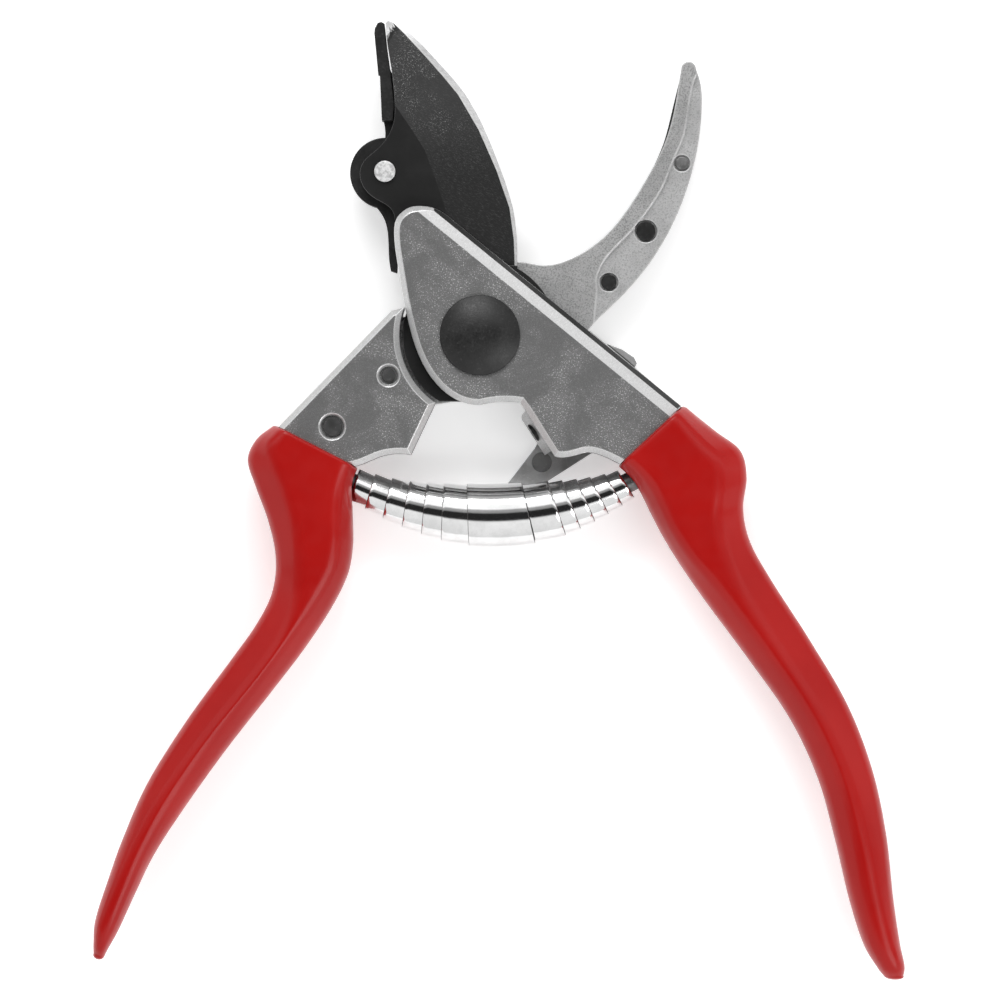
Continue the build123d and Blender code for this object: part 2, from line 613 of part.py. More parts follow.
# ---- pivot hardware -----------------------------------------------------------
DOME_RISE = BOLT_HEAD_HEIGHT - 0.5
DOME_R = (BOLT_HEAD_R**2 + DOME_RISE**2) / (2 * DOME_RISE)
DOME_MID_Z = METAL_FRONT + BOLT_HEAD_HEIGHT - DOME_R + (DOME_R**2 - 25) ** 0.5
with BuildPart() as pivot_bolt:
    with BuildSketch(Plane.XZ):
        with BuildLine():
            ThreePointArc(
                (BOLT_HEAD_R, METAL_FRONT + 0.5),
                (5, DOME_MID_Z),
                (0, METAL_FRONT + BOLT_HEAD_HEIGHT),
            )
            Polyline(
                (0, METAL_FRONT + BOLT_HEAD_HEIGHT),
                (0, 0),
                (BOLT_R, 0),
                (BOLT_R, METAL_FRONT),
                (BOLT_HEAD_R, METAL_FRONT),
                (BOLT_HEAD_R, METAL_FRONT + 0.5),
            )
        make_face()
    revolve(axis=Axis.Z)

with BuildPart() as pivot_washer:
    with BuildSketch(Plane.XY.offset(WASHER_BACK)):
        Circle(WASHER_R)
        Circle(BOLT_R, mode=Mode.SUBTRACT)
    extrude(amount=BORE_FLOOR - RUNNING - WASHER_BACK)

with BuildPart() as pivot_nut:
    with BuildSketch(Plane.XY):
        RegularPolygon(radius=NUT_FLATS / 2, side_count=6, major_radius=False)
        Circle(BOLT_R, mode=Mode.SUBTRACT)
    extrude(amount=WASHER_BACK)
    chamfer(pivot_nut.faces().sort_by(Axis.Z)[0].outer_wire().edges(), 0.5)

# ---- holder under the blade -----------------------------------------------------
HOLDER_BACK = 4.8
HOLDER_TOP = 9.1
HOLDER_R = 7.1
ARM_LEFT = [(-19.3, 38.0), (-19.2, 42.6), (-19.6, 44.4), (-19.6, 51.0), (-20.1, 56.4)]
ARM_RIGHT = [(-19.0, 56.4), (-17.6, 52.5), (-14.5, 46.0), (-11.6, 38.6)]
FINGER_BACK = 9.7
FINGER_TOP = 11.6
FINGER_ROOT = [(-19.6, 43.0), (-17.4, 43.0), (-17.15, 46.3), (-17.8, 51.8), (-18.5, 56.6), (-20.2, 56.6)]
FINGER = [
    (-20.3, 52.0), (-17.75, 52.0), (-18.45, 57.0), (-19.05, 62.3), (-19.7, 62.7), (-20.4, 62.5),
    (-21.0, 61.4), (-21.1, 60.4),
]
TAIL_LEFT = [(-23.0, 27.4), (-20.4, 25.4), (-19.0, 23.0), (-18.3, 18.1), (-17.8, 13.0)]
TAIL_RIGHT = [(-16.6, 12.6), (-16.8, 18.1), (-16.6, 22.0), (-13.4, 25.6), (-11.0, 28.4)]
with BuildPart() as holder_plate:
    with BuildSketch(Plane.XY.offset(HOLDER_BACK)):
        with Locations((-18.9, 32.6)):
            Circle(HOLDER_R)
        with BuildLine():
            Spline(*ARM_LEFT)
            Line(ARM_LEFT[-1], ARM_RIGHT[0])
            Spline(*ARM_RIGHT)
            Line(ARM_RIGHT[-1], ARM_LEFT[0])
        make_face()
        with BuildLine():
            Spline(*TAIL_LEFT)
            Line(TAIL_LEFT[-1], TAIL_RIGHT[0])
            Spline(*TAIL_RIGHT)
            Line(TAIL_RIGHT[-1], TAIL_LEFT[0])
        make_face()
    extrude(amount=HOLDER_TOP - HOLDER_BACK)
    with BuildSketch(Plane.XY.offset(HOLDER_BACK)):
        with BuildLine():
            Polyline(*FINGER_ROOT, close=True)
        make_face()
    extrude(amount=FINGER_TOP - HOLDER_BACK)
    with BuildSketch(Plane.XY.offset(FINGER_BACK)):
        with BuildLine():
            Polyline(*FINGER, close=True)
        make_face()
    extrude(amount=FINGER_TOP - FINGER_BACK)
    with BuildSketch(Plane.XY.offset(HOLDER_BACK)):
        with Locations(HOLDER_RIVET_AT):
            Circle(HOLDER_RIVET_R + RUNNING)
    extrude(amount=METAL_FRONT, mode=Mode.SUBTRACT)

with BuildPart() as holder_rivet:
    with BuildSketch(Plane.XY.offset(HOLDER_BACK - 0.1)):
        with Locations(HOLDER_RIVET_AT):
            Circle(HOLDER_RIVET_R)
    extrude(amount=BLADE_FRONT - HOLDER_BACK + 0.1)
    with BuildSketch(Plane.XY.offset(HOLDER_BACK - 0.9)):
        with Locations(HOLDER_RIVET_AT):
            Circle(3.0)
    extrude(amount=0.8)
    with BuildSketch(Plane.XY.offset(BLADE_FRONT)):
        with Locations(HOLDER_RIVET_AT):
            Circle(2.1)
    extrude(amount=0.7)

# ---- lock lever -----------------------------------------------------------------
stud_closed = turned(STUD_RIVET_AT, CLOSING_ANGLE)
notch_at = turned(stud_closed, LOCK_ANGLE, LOCK_PIVOT_AT)
NOTCH_R = STUD_RIVET_R + 0.25
LEVER = [
    (12.0, -20.5), (11.0, -22.4), (5.6, -29.4), (4.6, -33.5), (4.3, -36.0), (2.0, -36.4),
    (-0.4, -37.3), (-1.6, -37.8), (-1.7, -39.0), (0.2, -41.0), (2.6, -41.9), (4.2, -42.1),
    (5.6, -41.5), (8.4, -36.6), (13.0, -29.4), (23.4, -22.8), (26.0, -19.5), (26.6, -12.0),
    (30.2, -7.2), (31.5, -5.4), (30.9, -4.2), (28.5, -2.6), (25.6, -1.5), (22.5, -6.5),
    (18.6, -17.0), (15.5, -18.6),
]
with BuildPart() as lock_lever:
    with BuildSketch(Plane.XY):
        with BuildLine():
            Polyline(*LEVER, close=True)
        make_face()
        with Locations(notch_at):
            Circle(NOTCH_R, mode=Mode.SUBTRACT)
        with Locations(turned(stud_closed, LOCK_ANGLE / 2, LOCK_PIVOT_AT)):
            Circle(NOTCH_R, mode=Mode.SUBTRACT)
        with Locations(LOCK_PIVOT_AT):
            Circle(LOCK_PIVOT_R + RUNNING, mode=Mode.SUBTRACT)
        with Locations(LOCK_PIN_AT):
            Circle(1.2, mode=Mode.SUBTRACT)
    extrude(amount=LEVER_FRONT)
    with BuildSketch(Plane.XY):
        with Locations(LOCK_PIVOT_AT):
            Circle(3.1)
    extrude(amount=0.5, mode=Mode.SUBTRACT)
    with BuildSketch(Plane.XY):
        with BuildLine():
            Polyline(
                (25.6, -1.5), (28.5, -2.6), (30.9, -4.2), (31.5, -5.4), (31.1, -6.1), (25.95, -1.8),
                close=True,
            )
        make_face()
    extrude(amount=5.0)

with BuildPart() as lock_pin:
    with BuildSketch(Plane.XY):
        with Locations(LOCK_PIN_AT):
            Circle(1.2)
    extrude(amount=LEVER_FRONT)
    with BuildSketch(Plane.XY.offset(LEVER_FRONT)):
        with Locations(LOCK_PIN_AT):
            Circle(2.0)
    extrude(amount=0.15)

with BuildPart() as lock_pivot:
    with BuildSketch(Plane.XY.offset(0.05)):
        with Locations(LOCK_PIVOT_AT):
            Circle(LOCK_PIVOT_R)
    extrude(amount=7)
    with BuildSketch(Plane.XY.offset(0.05)):
        with Locations(LOCK_PIVOT_AT):
            Circle(3.0)
    extrude(amount=0.4)


# ---- volute spring --------------------------------------------------------------
def spring_turn(radius, start, end):
    """One turn of the strip: a sleeve bowed about the spring's centre."""
    with BuildPart() as turn:
        with BuildSketch(seat_plane(start)):
            Circle(radius)
            Circle(radius - SPRING_WALL, mode=Mode.SUBTRACT)
        revolve(
            axis=Axis((*SPRING_CENTRE, 0), (0, 0, 1)),
            revolution_arc=end - start,
        )
    return turn.part


strip_angle = degrees(SPRING_STRIP / SPRING_BOW_R)
save(spring_turn(SPRING_R, *MIDDLE_SPAN), "spring_middle")
outer_end = MIDDLE_SPAN[0]
for number, shown in enumerate(LEFT_SHOWN, start=1):
    outer_end -= degrees(shown / SPRING_BOW_R)
    radius = SPRING_R - number * LEFT_STEP
    save(spring_turn(radius, outer_end, outer_end + strip_angle), f"spring_turn_left_{number}")
outer_end = MIDDLE_SPAN[1]
for number, shown in enumerate(RIGHT_SHOWN, start=1):
    outer_end += degrees(shown / SPRING_BOW_R)
    radius = SPRING_R - number * RIGHT_STEP
    save(spring_turn(radius, outer_end - strip_angle, outer_end), f"spring_turn_right_{number}")

save(hook_handle.part, "hook_handle")
save(hook_grip.part, "hook_grip")
save(spring_peg_left.part, "spring_peg_left")
save(counter_blade.part, "counter_blade")
save(grip_pad.part, "grip_pad")
save(pad_rivets.part, "pad_rivets")
save(pad_pin.part, "pad_pin")
save(hook_rivet.part, "hook_rivet")
save(stud_rivet.part, "stud_rivet")
save(pivot_bush.part, "pivot_bush")
save(blade.part, "blade")
save(blade_handle_finished.part, "blade_handle")
save(blade_grip.part, "blade_grip")
save(blade_dowel.part, "blade_dowel")
save(stop_block.part, "stop_block")
save(stop_screw.part, "stop_screw")
save(spring_peg_right.part, "spring_peg_right")
save(pivot_bolt.part, "pivot_bolt")
save(pivot_washer.part, "pivot_washer")
save(pivot_nut.part, "pivot_nut")
save(holder_plate.part, "holder_plate")
save(holder_rivet.part, "holder_rivet")
save(lock_lever.part, "lock_lever")
save(lock_pin.part, "lock_pin")
save(lock_pivot.part, "lock_pivot")
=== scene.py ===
"""Looks of the cut-and-hold pruning shears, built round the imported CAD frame."""

import json
from math import atan2, cos, degrees, hypot, pi, radians, sin

import bmesh
import bpy
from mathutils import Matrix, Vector


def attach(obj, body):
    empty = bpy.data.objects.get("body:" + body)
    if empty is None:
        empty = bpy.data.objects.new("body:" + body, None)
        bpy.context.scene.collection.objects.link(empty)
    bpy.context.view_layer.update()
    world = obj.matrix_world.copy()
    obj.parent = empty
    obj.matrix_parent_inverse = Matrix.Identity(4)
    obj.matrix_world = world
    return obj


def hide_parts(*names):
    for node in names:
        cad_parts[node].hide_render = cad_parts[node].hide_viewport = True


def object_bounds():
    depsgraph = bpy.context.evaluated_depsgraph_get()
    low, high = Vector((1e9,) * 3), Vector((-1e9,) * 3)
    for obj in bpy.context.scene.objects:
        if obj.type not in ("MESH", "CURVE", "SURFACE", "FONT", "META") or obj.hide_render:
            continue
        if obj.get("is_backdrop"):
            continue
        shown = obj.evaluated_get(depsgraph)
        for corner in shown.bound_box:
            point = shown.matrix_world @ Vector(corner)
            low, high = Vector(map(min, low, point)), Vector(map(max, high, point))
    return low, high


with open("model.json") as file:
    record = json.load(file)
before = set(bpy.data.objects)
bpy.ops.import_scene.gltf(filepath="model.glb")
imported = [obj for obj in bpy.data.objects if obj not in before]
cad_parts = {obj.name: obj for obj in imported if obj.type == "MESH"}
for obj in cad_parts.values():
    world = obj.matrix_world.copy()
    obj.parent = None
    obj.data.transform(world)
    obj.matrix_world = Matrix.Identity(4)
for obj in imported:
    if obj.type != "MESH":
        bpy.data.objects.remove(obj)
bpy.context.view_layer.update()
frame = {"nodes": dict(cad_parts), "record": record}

MM = 0.001
GRIP_MID = 9.7  # height of both grips' middle plane, mm


# ---- looks ------------------------------------------------------------------------
BEVEL_SAMPLES = 6
# Cosine between an edge's rounded normal and its face's, where the edge mask for wear and painted
# highlights begins and is full.
EDGE_MASK_RANGE = (0.995, 0.95)


class Look:
    """A node material with its Principled shader and a few shorthands."""

    def __init__(self, name, metallic=0.0, roughness=0.5, **sockets):
        self.material = bpy.data.materials.new(name)
        self.material.use_nodes = True
        self.tree = self.material.node_tree
        self.shader = self.tree.nodes["Principled BSDF"]
        self.shader.inputs["Metallic"].default_value = metallic
        self.shader.inputs["Roughness"].default_value = roughness
        for socket, value in sockets.items():
            self.shader.inputs[socket.replace("_", " ")].default_value = value
        self.place = self.node("ShaderNodeTexCoord").outputs["Object"]

    def node(self, kind, **settings):
        made = self.tree.nodes.new(kind)
        for key, value in settings.items():
            setattr(made, key, value)
        return made

    def link(self, source, target):
        self.tree.links.new(source, target)

    def stretched(self, scale, turn=0.0):
        """Object coordinates turned about Z, then scaled per axis."""
        mapping = self.node("ShaderNodeMapping", vector_type="TEXTURE")
        self.link(self.place, mapping.inputs["Vector"])
        mapping.inputs["Rotation"].default_value = (0, 0, radians(turn))
        mapping.inputs["Scale"].default_value = scale
        return mapping.outputs["Vector"]

    def noise(self, size, detail=3.0, rough=0.55, vector=None, distortion=0.0):
        """Noise whose features are about size metres across."""
        made = self.node("ShaderNodeTexNoise")
        self.link(vector or self.place, made.inputs["Vector"])
        made.inputs["Scale"].default_value = 1 / size
        made.inputs["Detail"].default_value = detail
        made.inputs["Roughness"].default_value = rough
        made.inputs["Distortion"].default_value = distortion
        return made.outputs["Fac"]

    def band(self, value, low, high, low_out=0.0, high_out=1.0):
        """Value taken smoothly from low..high to low_out..high_out, and held beyond."""
        made = self.node("ShaderNodeMapRange", interpolation_type="SMOOTHSTEP")
        self.link(value, made.inputs["Value"])
        made.inputs["From Min"].default_value = low
        made.inputs["From Max"].default_value = high
        made.inputs["To Min"].default_value = low_out
        made.inputs["To Max"].default_value = high_out
        return made.outputs["Result"]

    def maths(self, operation, a, b):
        made = self.node("ShaderNodeMath", operation=operation)
        for socket, value in zip(made.inputs, (a, b)):
            if isinstance(value, (int, float)):
                socket.default_value = value
            else:
                self.link(value, socket)
        return made.outputs["Value"]

    def window(self, value, rise, fall):
        """1 where value lies between the ranges rise and fall, 0 outside them."""
        return self.maths("MULTIPLY", self.band(value, *rise), self.band(value, *fall))

    def mix(self, share, a, b):
        """Colour a where share is 0 and b where it is 1."""
        made = self.node("ShaderNodeMix", data_type="RGBA")
        self.link(share, made.inputs["Factor"])
        for socket, value in ((made.inputs["A"], a), (made.inputs["B"], b)):
            if isinstance(value, tuple):
                socket.default_value = (*value, 1)
            elif isinstance(value, float):
                socket.default_value = (value, value, value, 1)
            else:
                self.link(value, socket)
        return made.outputs["Result"]

    def facing(self, letter="Z"):
        """One part of the surface's own normal; for Z, 1 on a flat front and 0 on a side."""
        split = self.node("ShaderNodeSeparateXYZ")
        geometry = self.node("ShaderNodeNewGeometry")
        self.link(geometry.outputs["True Normal"], split.inputs[0])
        return split.outputs[letter]

    def axis(self, letter):
        """One object coordinate, in metres."""
        split = self.node("ShaderNodeSeparateXYZ")
        self.link(self.place, split.inputs[0])
        return split.outputs[letter]

    def edge_wear_and_highlight_mask(self, radius):
        """1 within about radius metres of an edge, 0 on open faces; it places edge wear and painted edge
        highlights.
        """
        rounded = self.node("ShaderNodeBevel", samples=BEVEL_SAMPLES)
        rounded.inputs["Radius"].default_value = radius
        geometry = self.node("ShaderNodeNewGeometry")
        dot = self.node("ShaderNodeVectorMath", operation="DOT_PRODUCT")
        self.link(rounded.outputs["Normal"], dot.inputs[0])
        self.link(geometry.outputs["True Normal"], dot.inputs[1])
        return self.band(dot.outputs["Value"], *EDGE_MASK_RANGE)

    def colour(self, source):
        self.link(source, self.shader.inputs["Base Color"])

    def roughness(self, source):
        self.link(source, self.shader.inputs["Roughness"])

    def metal(self, source):
        self.link(source, self.shader.inputs["Metallic"])

    def relief(self, height, strength, distance, round_edges=0.0):
        """Bump from a height, over edges rounded by round_edges metres."""
        bump = self.node("ShaderNodeBump")
        bump.inputs["Strength"].default_value = strength
        bump.inputs["Distance"].default_value = distance
        self.link(height, bump.inputs["Height"])
        if round_edges:
            edge = self.node("ShaderNodeBevel", samples=BEVEL_SAMPLES)
            edge.inputs["Radius"].default_value = round_edges
            self.link(edge.outputs["Normal"], bump.inputs["Normal"])
        self.link(bump.outputs["Normal"], self.shader.inputs["Normal"])


# Ranges of the normal's Z at which a kind of surface begins and ends.
# CHAMFERS and STEEP_STRIP place the forging's painted highlight and painted shade line.
CHAMFERS = ((0.66, 0.69), (0.99, 0.98))
STEEP_STRIP = ((0.52, 0.56), (0.66, 0.63))
CHEEK = ((0.90, 0.93), (0.9990, 0.9975))
GROUND_BEVEL = ((0.25, 0.40), (0.90, 0.87))
# CUT_EDGE marks the strip's cut edges, which get a painted shade.
CUT_EDGE = (0.60, 0.75)  # of the normal's X, where the spring strip's outside turns into its edge
TIPWARD = (0.030, 0.050)  # height up the blade over which it starts to sparkle, m
RAISED_STRIP = (0.00905, 0.0092)  # between the hook's lower face and its raised strip, m
VINYL_DEEP, VINYL_PALE = (0.36, 0.0042, 0.0034), (0.40, 0.0062, 0.0048)
BRONZE_DARK, BRONZE_BRIGHT = (0.36, 0.21, 0.09), (0.55, 0.36, 0.17)


def forged_look():
    """Tumbled grey forging: fine specks, drag marks, a painted highlight on the chamfers, a painted shade
    line on steep bevels, and bright edges that are part wear and part painted highlight.
    """
    look = Look("forged_aluminium", metallic=0.85, roughness=0.46)
    specks = look.noise(0.00026, 2, 0.6)
    grain = look.noise(0.0005, 3, 0.6)
    cloud = look.noise(0.009, 4, 0.6, distortion=0.6)
    drag = look.noise(0.0005, 3, 0.6, vector=look.stretched((0.16, 1, 1), -42))
    grey = look.mix(look.band(cloud, 0.35, 0.68), 0.20, 0.27)
    grey = look.mix(look.band(grain, 0.35, 0.65, 0.0, 0.35), grey, 0.16)
    dragged = look.mix(look.band(drag, 0.54, 0.72, 0.0, 0.30), grey, 0.48)
    patches = look.maths("MULTIPLY", look.band(specks, 0.58, 0.68), look.band(cloud, 0.40, 0.60, 0.1, 1.0))
    front = look.mix(patches, dragged, 0.85)
    up = look.facing()
    # Painted highlight on the chamfers and a painted dark shade line on the steep bevel strip, picked by
    # which way the surface faces.
    chamfer = look.window(up, *CHAMFERS)
    steep = look.window(up, *STEEP_STRIP)
    rim = look.mix(chamfer, front, look.mix(look.band(drag, 0.4, 0.7), 0.56, 0.72))
    rim = look.mix(steep, rim, 0.045)
    uneven = look.band(look.noise(0.003, 4, 0.7), 0.2, 0.45, 0.5, 0.95)
    # Edges lightened: partly rubbed wear, partly a painted highlight.
    wear_and_highlight = look.maths("MULTIPLY", look.edge_wear_and_highlight_mask(0.0003), uneven)
    look.colour(look.mix(wear_and_highlight, rim, 0.88))
    look.roughness(look.band(wear_and_highlight, 0, 1, 0.46, 0.30))
    height = look.maths("ADD", specks, look.maths("MULTIPLY", drag, 0.6))
    look.relief(height, 0.30, 0.0001, 0.0003)
    return look.material


def vinyl_look():
    """Dipped red vinyl: smooth and glossy, with a faint orange-peel skin."""
    look = Look(
        "red_vinyl", roughness=0.34, Coat_Weight=0.12, Coat_Roughness=0.12, Specular_IOR_Level=0.22
    )
    cloud = look.noise(0.018, 3, 0.5)
    skin = look.noise(0.003, 1, 0.5)
    look.colour(look.mix(look.band(cloud, 0.3, 0.7), VINYL_DEEP, VINYL_PALE))
    look.roughness(look.band(skin, 0.3, 0.7, 0.31, 0.37))
    look.relief(skin, 0.05, 0.0001)
    return look.material


def blade_look():
    """Near-black coated steel: a scuffed cheek that sparkles near the tip, a bright edge."""
    look = Look("blade_steel", metallic=0.25, roughness=0.5, Specular_IOR_Level=0.4)
    specks = look.noise(0.00022, 2, 0.7)
    cloud = look.noise(0.009, 4, 0.6)
    scuffs = look.noise(0.0008, 4, 0.7, vector=look.stretched((0.16, 1, 1), 62))
    coat = look.mix(look.band(cloud, 0.35, 0.7), 0.006, 0.012)
    up = look.facing()
    cheek = look.window(up, *CHEEK)
    bevel = look.window(up, *GROUND_BEVEL)
    tipward = look.band(look.axis("Y"), *TIPWARD)
    sparkle = look.maths("MULTIPLY", look.band(specks, 0.58, 0.68), look.band(cloud, 0.42, 0.60))
    sparkle = look.maths("MULTIPLY", sparkle, tipward)
    ground = look.mix(look.band(scuffs, 0.50, 0.78, 0.0, 0.5), look.mix(tipward, 0.010, 0.030), 0.12)
    tone = look.mix(cheek, coat, look.mix(sparkle, ground, 0.30))
    # Edges lightened: partly wear, partly a painted highlight.
    wear_and_highlight = look.maths("MULTIPLY", look.edge_wear_and_highlight_mask(0.00018), look.band(cloud, 0.3, 0.6, 0.15, 0.5))
    tone = look.mix(wear_and_highlight, tone, 0.35)
    look.colour(look.mix(bevel, tone, look.mix(look.band(scuffs, 0.4, 0.6), 0.72, 0.92)))
    look.roughness(look.band(bevel, 0, 1, 0.50, 0.34))
    look.metal(look.band(bevel, 0, 1, 0.25, 0.9))
    look.relief(look.maths("ADD", specks, scuffs), 0.2, 0.00008, 0.00015)
    return look.material


def hook_look():
    """Granular silver steel, a little darker and coarser on its raised inner strip."""
    look = Look("hook_steel", metallic=0.85, roughness=0.45)
    grain = look.noise(0.0003, 3, 0.7)
    cloud = look.noise(0.006, 4, 0.6)
    strip = look.band(look.axis("Z"), *RAISED_STRIP)
    low = look.mix(look.band(cloud, 0.3, 0.7), 0.52, 0.66)
    low = look.mix(look.band(grain, 0.50, 0.62, 0.0, 0.65), low, 0.28)
    high = look.mix(look.band(cloud, 0.3, 0.7), 0.46, 0.58)
    high = look.mix(look.band(grain, 0.48, 0.60, 0.0, 0.7), high, 0.20)
    tone = look.mix(strip, low, high)
    # Edges and the strip's ridge lightened: mostly a painted highlight, partly wear.
    wear_and_highlight = look.maths("MULTIPLY", look.edge_wear_and_highlight_mask(0.0006), look.band(cloud, 0.2, 0.5, 0.3, 0.7))
    look.colour(look.mix(wear_and_highlight, tone, 0.78))
    look.roughness(look.band(grain, 0.3, 0.7, 0.38, 0.52))
    look.relief(grain, 0.5, 0.00012, 0.0003)
    return look.material


def spring_look():
    """Bright plated strip with hair scratches and faint hazing, and painted shade on its cut edges."""
    look = Look("spring_steel", metallic=1.0, roughness=0.07)
    haze = look.noise(0.004, 4, 0.6)
    hair = look.noise(0.0007, 2, 0.6, vector=look.stretched((0.05, 1, 1), 12))
    # Painted shade: the strip's cut edges are coloured near black.
    shaded_cut_edge = look.band(look.maths("ABSOLUTE", look.facing("X"), 0.0), *CUT_EDGE)
    look.colour(look.mix(shaded_cut_edge, look.mix(look.band(haze, 0.3, 0.7), 0.67, 0.78), 0.015))
    scratched = look.band(hair, 0.4, 0.75, 0.07, 0.17)
    look.roughness(look.maths("MAXIMUM", scratched, look.band(shaded_cut_edge, 0, 1, 0, 0.5)))
    look.relief(hair, 0.06, 0.00005, 0.00012)
    return look.material


def rivet_look():
    """Bright peened rivet: pale, mottled and satin."""
    look = Look("rivet_chrome", metallic=0.35, roughness=0.32)
    mottle = look.noise(0.0009, 4, 0.7)
    look.colour(look.mix(look.band(mottle, 0.38, 0.62), 0.55, 0.92))
    look.relief(mottle, 0.5, 0.0002, 0.0003)
    return look.material


def plain_steel_look(name, dark, light, roughness=0.4, metallic=0.9, grain_size=0.0005):
    """Small hardware: a cloud of tone, pale grains and softened edges."""
    look = Look(name, metallic=metallic, roughness=roughness)
    grain = look.noise(grain_size, 3, 0.6)
    cloud = look.noise(0.004, 3, 0.6)
    tone = look.mix(look.band(cloud, 0.3, 0.7), dark, light)
    pale = min(light * 1.8 + 0.02, 0.9)
    look.colour(look.mix(look.band(grain, 0.58, 0.72, 0.0, 0.4), tone, pale))
    look.roughness(look.band(grain, 0.3, 0.7, roughness - 0.06, roughness + 0.08))
    look.relief(grain, 0.3, 0.0001, 0.0003)
    return look.material


def rubber_look():
    """Matte black rubber with a fine grain."""
    look = Look("black_rubber", roughness=0.75)
    grain = look.noise(0.0004, 3, 0.6)
    look.colour(look.mix(look.band(grain, 0.35, 0.65), 0.010, 0.028))
    look.relief(grain, 0.4, 0.0001, 0.0003)
    return look.material


def bronze_look():
    """Plain bearing bronze."""
    look = Look("bronze", metallic=1.0, roughness=0.38)
    grain = look.noise(0.0006, 3, 0.6)
    look.colour(look.mix(look.band(grain, 0.35, 0.65), BRONZE_DARK, BRONZE_BRIGHT))
    look.relief(grain, 0.3, 0.0001, 0.0002)
    return look.material


LOOKS = {
    "forged_aluminium": forged_look(),
    "red_vinyl": vinyl_look(),
    "blade_steel": blade_look(),
    "hook_steel": hook_look(),
    "spring_steel": spring_look(),
    "black_steel": plain_steel_look("black_steel", 0.010, 0.022, 0.42, 0.3),
    "zinc_steel": plain_steel_look("zinc_steel", 0.16, 0.30, 0.42),
    "rivet_chrome": rivet_look(),
    "black_rubber": rubber_look(),
    "bronze": bronze_look(),
    "lever_steel": plain_steel_look("lever_steel", 0.42, 0.58, 0.45, grain_size=0.0003),
    "dark_steel": plain_steel_look("dark_steel", 0.045, 0.09, 0.5, 0.6),
}
SLOT_OF = {part["node"]: part["material_slot"] for part in frame["record"]["subparts"]}
for node, thing in frame["nodes"].items():
    if not thing.material_slots:
        thing.data.materials.append(LOOKS[SLOT_OF[node]])
    for material_slot in thing.material_slots:
        material_slot.material = LOOKS[SLOT_OF[node]]


# ---- mesh helpers ---------------------------------------------------------------
def mesh_object(name, points, faces, slot):
    """Smooth-shaded piece from points in mm, with the look and the name of a slot."""
    mesh = bpy.data.meshes.new(name)
    mesh.from_pydata([Vector(p) * MM for p in points], [], faces)
    mesh.validate()
    made = bpy.data.objects.new(name, mesh)
    bpy.context.scene.collection.objects.link(made)
    sculpt = bmesh.new()
    sculpt.from_mesh(mesh)
    bmesh.ops.recalc_face_normals(sculpt, faces=sculpt.faces)
    sculpt.to_mesh(mesh)
    sculpt.free()
    mesh.shade_smooth()
    mesh.materials.append(LOOKS[slot])
    return made


def tube_faces(rings, around):
    """Quads between successive rings of points, with a cap at each end."""
    faces = []
    for ring in range(rings - 1):
        for i in range(around):
            a = ring * around + i
            b = ring * around + (i + 1) % around
            faces.append((a, b, b + around, a + around))
    faces.append(tuple(range(around)))
    last = (rings - 1) * around
    faces.append(tuple(last + i for i in reversed(range(around))))
    return faces


def apply_modifiers(thing):
    """Makes the object's modifiers permanent in its mesh."""
    graph = bpy.context.evaluated_depsgraph_get()
    graph.update()
    mesh = bpy.data.meshes.new_from_object(thing.evaluated_get(graph))
    thing.modifiers.clear()
    thing.data = mesh


def through(stations, u):
    """Catmull-Rom value of a list of number tuples at a fractional index."""
    last = len(stations) - 1
    i = min(int(u), last - 1)
    t = u - i
    p0, p1, p2, p3 = (stations[min(max(k, 0), last)] for k in (i - 1, i, i + 1, i + 2))
    return [
        0.5 * (2 * b + (c - a) * t + (2 * a - 5 * b + 4 * c - d) * t * t + (3 * b - a - 3 * c + d) * t**3)
        for a, b, c, d in zip(p0, p1, p2, p3)
    ]


def smooth(x, low, high):
    """0 up to low and 1 from high, with a smooth step between."""
    t = min(max((x - low) / (high - low), 0), 1)
    return t * t * (3 - 2 * t)


# ---- grips ----------------------------------------------------------------------
# Stations: inner edge x, y; outer edge x, y; thickness; the front facet's inner and
# outer borders as shares of the width.
RIGHT_GRIP = [
    (27.6, -25.9, 40.5, -13.8, 16.2, 0.09, 0.88),
    (30.0, -28.6, 47.0, -19.0, 16.2, 0.12, 0.80),
    (32.4, -32.0, 52.0, -22.9, 16.2, 0.13, 0.75),
    (34.2, -35.6, 53.3, -28.2, 16.2, 0.14, 0.70),
    (36.4, -39.8, 52.6, -34.6, 16.1, 0.15, 0.66),
    (39.8, -45.4, 54.0, -41.2, 15.8, 0.19, 0.62),
    (45.2, -53.2, 58.2, -48.8, 15.4, 0.30, 0.52),
    (53.8, -64.8, 65.8, -60.6, 14.8, 0.33, 0.47),
    (62.0, -76.6, 73.4, -73.6, 14.2, 0.35, 0.46),
    (67.6, -88.6, 78.4, -86.6, 13.5, 0.41, 0.47),
    (71.0, -100.8, 81.2, -99.6, 12.8, 0.43, 0.49),
    (73.8, -112.6, 82.6, -112.2, 11.9, 0.43, 0.52),
    (76.6, -121.4, 83.9, -121.0, 10.4, 0.42, 0.56),
    (79.4, -126.2, 84.9, -125.8, 7.8, 0.40, 0.60),
    (80.9, -128.1, 84.7, -127.9, 4.6, 0.35, 0.65),
]
